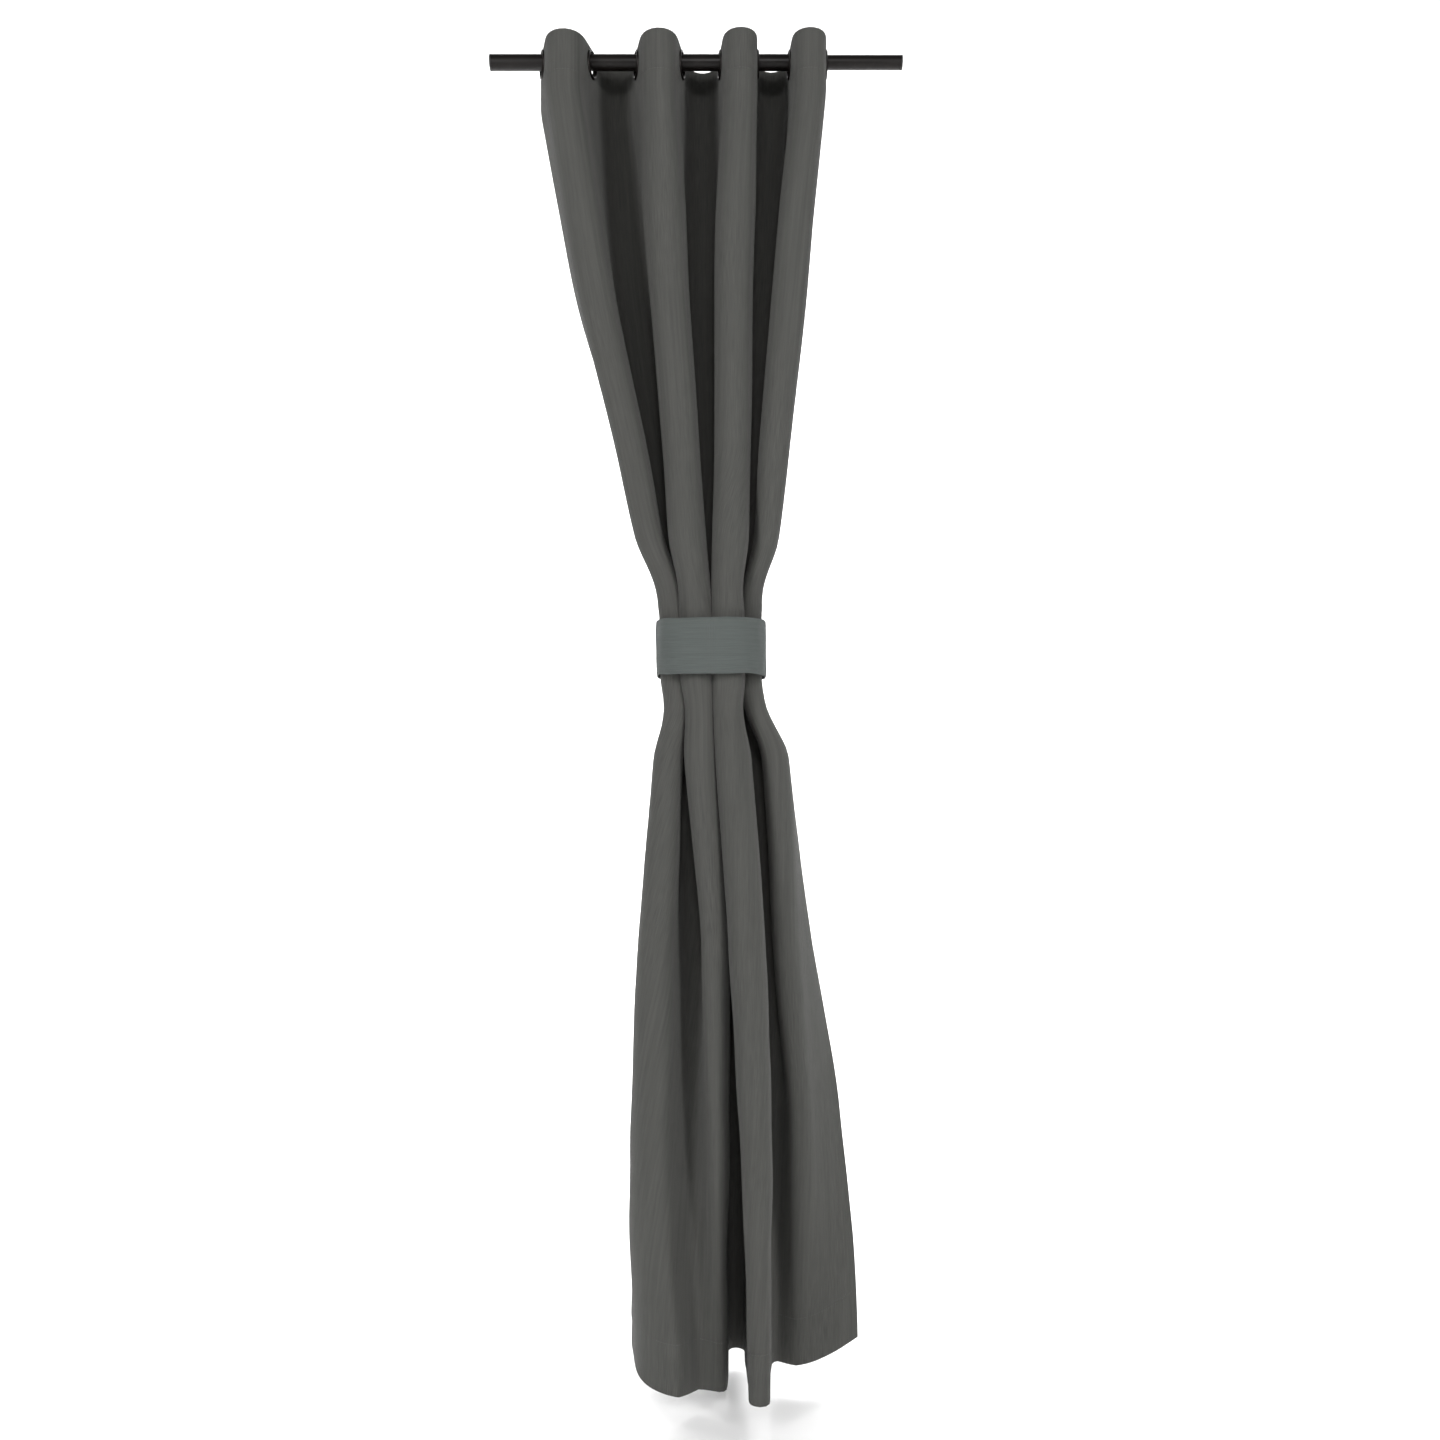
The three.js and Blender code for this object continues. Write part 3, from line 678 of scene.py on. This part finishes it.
buckram = new_piece("heading_buckram", cut_buckram(), stiff_buckram())
thicken(buckram, BUCKRAM_T)
gathers(buckram)
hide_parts("header_buckram")

# Eyelets: eight pressed brass rings in two halves, blackened, snapped together through the heading.
# The front half has the barrel, and each half's flange is domed with a rolled rim.
BORE_R = 0.0200
FLANGE_R = 0.0255
BARREL_R = 0.0216
FLANGE_T = 0.0026
RING_SEGMENTS = 96
HEADING_HALF = LAYER_GAP / 2 + CLOTH_T / 2 + 0.0001


def blackened_metal():
    """Pressed brass, chemically blackened: satin, with fine mottling."""
    made, tree, surface = new_material("pressed_brass_blackened_satin")
    place = add(tree, "ShaderNodeTexCoord").outputs["Object"]
    grain = add(tree, "ShaderNodeTexNoise", values={"Scale": 260.0, "Detail": 4.0},
                links={"Vector": place})
    colour = add(tree, "ShaderNodeValToRGB", links={"Fac": grain.outputs["Fac"]})
    colour.color_ramp.elements[0].color = linear("#161413")
    colour.color_ramp.elements[1].color = linear("#2A2725")
    tree.links.new(colour.outputs["Color"], surface.inputs["Base Color"])
    satin = add(tree, "ShaderNodeMapRange", values={"To Min": 0.34, "To Max": 0.5},
                links={"Value": grain.outputs["Fac"]})
    tree.links.new(satin.outputs["Result"], surface.inputs["Roughness"])
    surface.inputs["Metallic"].default_value = 0.85
    return made


EYELET_METAL = blackened_metal()


def spun(profile, segments, axis, closed=True):
    """Turns a profile of (radius, distance along the axis) right round the X or Y axis."""
    shape = bmesh.new()
    if axis == "Y":
        verts = [shape.verts.new((r, d, 0)) for r, d in profile]
        spin_axis = (0, 1, 0)
    else:
        verts = [shape.verts.new((d, r, 0)) for r, d in profile]
        spin_axis = (1, 0, 0)
    pairs = list(zip(verts, verts[1:] + verts[:1])) if closed else list(zip(verts, verts[1:]))
    edges = [shape.edges.new(pair) for pair in pairs]
    bmesh.ops.spin(shape, geom=verts + edges, cent=(0, 0, 0), axis=spin_axis, dvec=(0, 0, 0),
                   angle=2 * math.pi, steps=segments, use_merge=True)
    bmesh.ops.remove_doubles(shape, verts=shape.verts, dist=1e-7)
    bmesh.ops.recalc_face_normals(shape, faces=shape.faces)
    return shape


def rounded(corners, radius=0.0005, steps=4):
    """The closed profile with every corner rounded."""
    out = []
    for i, corner in enumerate(corners):
        here = Vector(corner)
        before, after = Vector(corners[i - 1]), Vector(corners[(i + 1) % len(corners)])
        cut = min(radius, (before - here).length * 0.45, (after - here).length * 0.45)
        start = here + (before - here).normalized() * cut
        end = here + (after - here).normalized() * cut
        for k in range(steps + 1):
            u = k / steps
            out.append(tuple(start * (1 - u) ** 2 + here * 2 * u * (1 - u) + end * u * u))
    return out


def eyelet_half(k, side):
    face, top = HEADING_HALF, HEADING_HALF + FLANGE_T
    middle = (BORE_R + FLANGE_R) / 2
    if side == "front":
        corners = [(BORE_R, top), (BORE_R, -top + 0.0012), (BORE_R + 0.0012, -top - 0.0002),
                   (middle, -top - 0.0006), (FLANGE_R - 0.0012, -top + 0.0004), (FLANGE_R, -face - 0.0003),
                   (FLANGE_R - 0.0004, -face), (BARREL_R, -face), (BARREL_R, top)]
    else:
        corners = [(BARREL_R + 0.0002, face), (FLANGE_R - 0.0004, face), (FLANGE_R, face + 0.0003),
                   (FLANGE_R - 0.0012, top - 0.0004), (middle, top + 0.0004),
                   (BARREL_R + 0.0002, top - 0.0002)]
    shape = spun(rounded(corners), RING_SEGMENTS, "Y")
    low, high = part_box(f"eyelet_{k}_front")
    centre = [(a + b) / 2 for a, b in zip(low, high)]
    heading_angle = float(thread(MARGIN + EYELET_PITCH * (k - 1))[3][3])
    place = Matrix.Translation(centre) @ Matrix.Rotation(heading_angle, 4, "Z")
    bmesh.ops.transform(shape, matrix=place, verts=shape.verts)
    return shape


for k in range(1, EYELETS + 1):
    for side in ("front", "back"):
        half = new_piece(f"eyelet_ring_{k}_{side}", eyelet_half(k, side), EYELET_METAL)
        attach(half, "panel" if k == 1 else f"eyelet_{k}")
        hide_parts(f"eyelet_{k}_{side}")

# Rod: a thick steel tube at the left and a thin one that slides in it, both powder-coated dark
# brown, with a moulded plug pressed into each outer end. The thick tube's mouth is turned in a little.
ROD_R = 0.0140
INNER_ROD_R = 0.0125
TUBE_WALL = 0.0012
PLUG_DISC = 0.003
PLUG_STEM = 0.020
MOUTH_DEPTH = 0.0015
ROD_SEGMENTS = 96


def powder_coat():
    """Steel tube, powder-coated near-black brown: satin, with fine orange peel and faint rubbing."""
    made, tree, surface = new_material("steel_tube_powder_coated_brown_black")
    place = add(tree, "ShaderNodeTexCoord").outputs["Object"]
    peel = add(tree, "ShaderNodeTexNoise", values={"Scale": 700.0, "Detail": 2.0},
               links={"Vector": place})
    rub = add(tree, "ShaderNodeTexNoise", values={"Scale": 14.0, "Detail": 4.0},
              links={"Vector": place})
    colour = add(tree, "ShaderNodeValToRGB", links={"Fac": rub.outputs["Fac"]})
    colour.color_ramp.elements[0].color = linear("#090706")
    colour.color_ramp.elements[1].color = linear("#140F0D")
    tree.links.new(colour.outputs["Color"], surface.inputs["Base Color"])
    satin = add(tree, "ShaderNodeMapRange", values={"To Min": 0.3, "To Max": 0.42},
                links={"Value": rub.outputs["Fac"]})
    surface.inputs["Specular IOR Level"].default_value = 0.25
    tree.links.new(satin.outputs["Result"], surface.inputs["Roughness"])
    bump = add(tree, "ShaderNodeBump", values={"Strength": 0.12, "Distance": 0.0002},
               links={"Height": peel.outputs["Fac"]})
    tree.links.new(bump.outputs["Normal"], surface.inputs["Normal"])
    return made


def moulded_plug():
    """Injection-moulded black plastic: matt, with a fine spark-eroded texture."""
    made, tree, surface = new_material("polypropylene_moulded_black")
    place = add(tree, "ShaderNodeTexCoord").outputs["Object"]
    spark = add(tree, "ShaderNodeTexNoise", values={"Scale": 1500.0, "Detail": 2.0},
                links={"Vector": place})
    colour = add(tree, "ShaderNodeValToRGB", links={"Fac": spark.outputs["Fac"]})
    colour.color_ramp.elements[0].color = linear("#0F0E0E")
    colour.color_ramp.elements[1].color = linear("#191717")
    tree.links.new(colour.outputs["Color"], surface.inputs["Base Color"])
    bump = add(tree, "ShaderNodeBump", values={"Strength": 0.2, "Distance": 0.0001},
               links={"Height": spark.outputs["Fac"]})
    tree.links.new(bump.outputs["Normal"], surface.inputs["Normal"])
    surface.inputs["Roughness"].default_value = 0.55
    return made


ROD_PAINT = powder_coat()
PLUG_PLASTIC = moulded_plug()


def tube_piece(name, node, radius, mouth, body):
    """A tube where its CAD node is. Its mouth, at the high X end, may be turned in."""
    low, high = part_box(node)
    start, end = low[0], high[0]
    bore = radius - TUBE_WALL
    corners = [(bore, start), (radius, start), (radius, end), (bore, end)]
    if mouth:
        corners = [(bore, start), (radius, start), (radius, end - MOUTH_DEPTH), (radius - 0.0006, end),
                   (bore, end)]
    piece = new_piece(name, spun(rounded(corners, 0.0003), ROD_SEGMENTS, "X"), ROD_PAINT)
    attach(piece, body)
    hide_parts(node)


def plug_piece(name, node, radius, face, side, body):
    """A plug: a disc that covers the tube's end, with a hollow stem inside it."""
    stem = radius - TUBE_WALL - 0.0003
    shoulder = face - side * PLUG_DISC
    corners = [(stem - 0.002, shoulder - side * PLUG_STEM), (stem, shoulder - side * PLUG_STEM),
               (stem, shoulder), (radius, shoulder), (radius, face), (0.0, face)]
    inner = [(0.0, face - side * PLUG_DISC), (stem - 0.002, face - side * PLUG_DISC)]
    piece = new_piece(name, spun(rounded(corners[:-1], 0.0004) + [corners[-1]] + inner, ROD_SEGMENTS, "X"),
                      PLUG_PLASTIC)
    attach(piece, body)
    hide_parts(node)


tube_piece("outer_tube", "rod_outer_tube", ROD_R, True, "rod_outer")
tube_piece("inner_tube", "rod_inner_tube", INNER_ROD_R, False, "rod_inner")
plug_piece("left_plug", "end_plug_left", ROD_R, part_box("end_plug_left")[0][0], -1, "rod_outer")
plug_piece("right_plug", "end_plug_right", INNER_ROD_R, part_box("end_plug_right")[1][0], 1, "rod_inner")

# Tieback: a straight band of the same cloth, double and interlined, wrapped once round the folds and
# topstitched along both edges. Its ends lap at the back and hold by a strip of hooks on one of loops.
BAND_T = 0.0024
BAND_LAP = 0.060
BAND_RISE = 0.0067
BAND_ROUNDNESS = 3
BAND_AROUND = 300
BAND_ACROSS = 30
BAND_GIRTH = 2 * math.pi * math.sqrt((BAND_HALF[0] ** 2 + BAND_HALF[1] ** 2) / 2)
LAP_SHARE = BAND_LAP / BAND_GIRTH
BAND_WEAVE = woven_cloth("woven_polyester_charcoal_double", "#484C4B", "#565B59")


def wrap_point(turn, off):
    """A point of the wrap, and its direction outwards. Turn 0 is the middle of the back."""
    angle = math.pi / 2 + turn * 2 * math.pi
    place, slope = [], []
    for value, half in ((math.cos(angle), BAND_HALF[0]), (math.sin(angle), BAND_HALF[1])):
        reach = half * math.copysign(abs(value) ** (2 / BAND_ROUNDNESS), value)
        place.append(reach)
        slope.append(math.copysign(abs(reach / half) ** (BAND_ROUNDNESS - 1), value) / half)
    out = Vector(slope).normalized()
    return Vector(BAND_CENTRE) + Vector(place) + out * off, out


def on_band(turn, high, off):
    """A point of the band, "high" running from -0.5 at its lower edge to 0.5 at its upper one."""
    rise = BAND_RISE * float(ease((turn - (1 - 2 * LAP_SHARE)) / LAP_SHARE))
    slack = 0.0013 * noise.noise(Vector((turn * 24, high * 2.4, 1.9)))
    pull = 0.0009 * noise.noise(Vector((turn * 11 + high * 2.2, high * 1.2, 8.2)))
    belly = 0.0013 * (1 - (2 * high) ** 2)
    around, out = wrap_point(turn, 0.0019 + rise + slack + pull + belly + off)
    sway = 0.0022 * noise.noise(Vector((turn * 5, 0, 4.4))) * (1 - rise / BAND_RISE)
    tall = BAND_HEIGHT - 2 * abs(sway) - 0.0004
    return Vector((around.x, around.y, -BAND_DROP + high * tall + sway)), Vector((out.x, out.y, 0))


def wrap_band():
    shape = bmesh.new()
    bmesh.ops.create_grid(shape, x_segments=BAND_AROUND, y_segments=BAND_ACROSS, size=0.5)
    uv = shape.loops.layers.uv.new("cloth")
    for face in shape.faces:
        for loop in face.loops:
            place = loop.vert.co
            loop[uv].uv = place.y * BAND_HEIGHT, (place.x + 0.5) * BAND_GIRTH
    for vert in shape.verts:
        high = vert.co.y
        thin = -0.0005 * max(0.0, (abs(high) - 0.46) / 0.04) ** 2
        vert.co = on_band((vert.co.x + 0.5) * (1 + LAP_SHARE), high, thin)[0]
    return shape


def band_seam(high):
    def place(s):
        return on_band(s / BAND_GIRTH, high, BAND_T / 2 - THREAD_SINK)
    return place


def sew_band():
    shape = bmesh.new()
    for high in (-0.44, 0.44):
        sew_row(shape, band_seam(high), BAND_GIRTH + BAND_LAP)
    return shape


def strip_grid(start, end, off, height):
    shape = bmesh.new()
    bmesh.ops.create_grid(shape, x_segments=40, y_segments=40, size=0.5)
    uv = shape.loops.layers.uv.new("cloth")
    for face in shape.faces:
        for loop in face.loops:
            loop[uv].uv = loop.vert.co.x * BAND_LAP, loop.vert.co.y * height
    for vert in shape.verts:
        turn = start + (end - start) * (vert.co.x + 0.5)
        around, out = wrap_point(turn, off)
        vert.co = (around.x, around.y, -BAND_DROP + vert.co.y * height)
    return shape


def fastener_tape(name, scale, height):
    """Nylon hook or loop tape: a dense nap of small black tufts on a woven ground."""
    made, tree, surface = new_material(name)
    place = add(tree, "ShaderNodeUVMap", {"uv_map": "cloth"}).outputs["UV"]
    tufts = add(tree, "ShaderNodeTexVoronoi", values={"Scale": scale}, links={"Vector": place})
    colour = add(tree, "ShaderNodeValToRGB", links={"Fac": tufts.outputs["Distance"]})
    colour.color_ramp.elements[0].color = linear("#2E2E2E")
    colour.color_ramp.elements[1].color = linear("#151515")
    tree.links.new(colour.outputs["Color"], surface.inputs["Base Color"])
    bump = add(tree, "ShaderNodeBump", {"invert": True}, {"Strength": 0.8, "Distance": height},
               {"Height": tufts.outputs["Distance"]})
    tree.links.new(bump.outputs["Normal"], surface.inputs["Normal"])
    surface.inputs["Roughness"].default_value = 0.85
    return made


tieback = new_piece("tieback", wrap_band(), BAND_WEAVE)
thicken(tieback, BAND_T)
gathers(tieback)
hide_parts("tieback_band")
band_seams = new_piece("tieback_seams", sew_band(), THREAD)
gathers(band_seams)
STRIP_HEIGHT = 0.080
for side, off, scale in (("loop", 0.0040, 900.0), ("hook", 0.0057, 600.0)):
    tape = fastener_tape(f"nylon_{side}_tape_black", scale, 0.0006)
    strip = new_piece(f"{side}_strip", strip_grid(LAP_SHARE * 0.1, LAP_SHARE * 0.9, off, STRIP_HEIGHT), tape)
    thicken(strip, 0.0013)
    gathers(strip)
    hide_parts(f"tieback_{side}_strip")
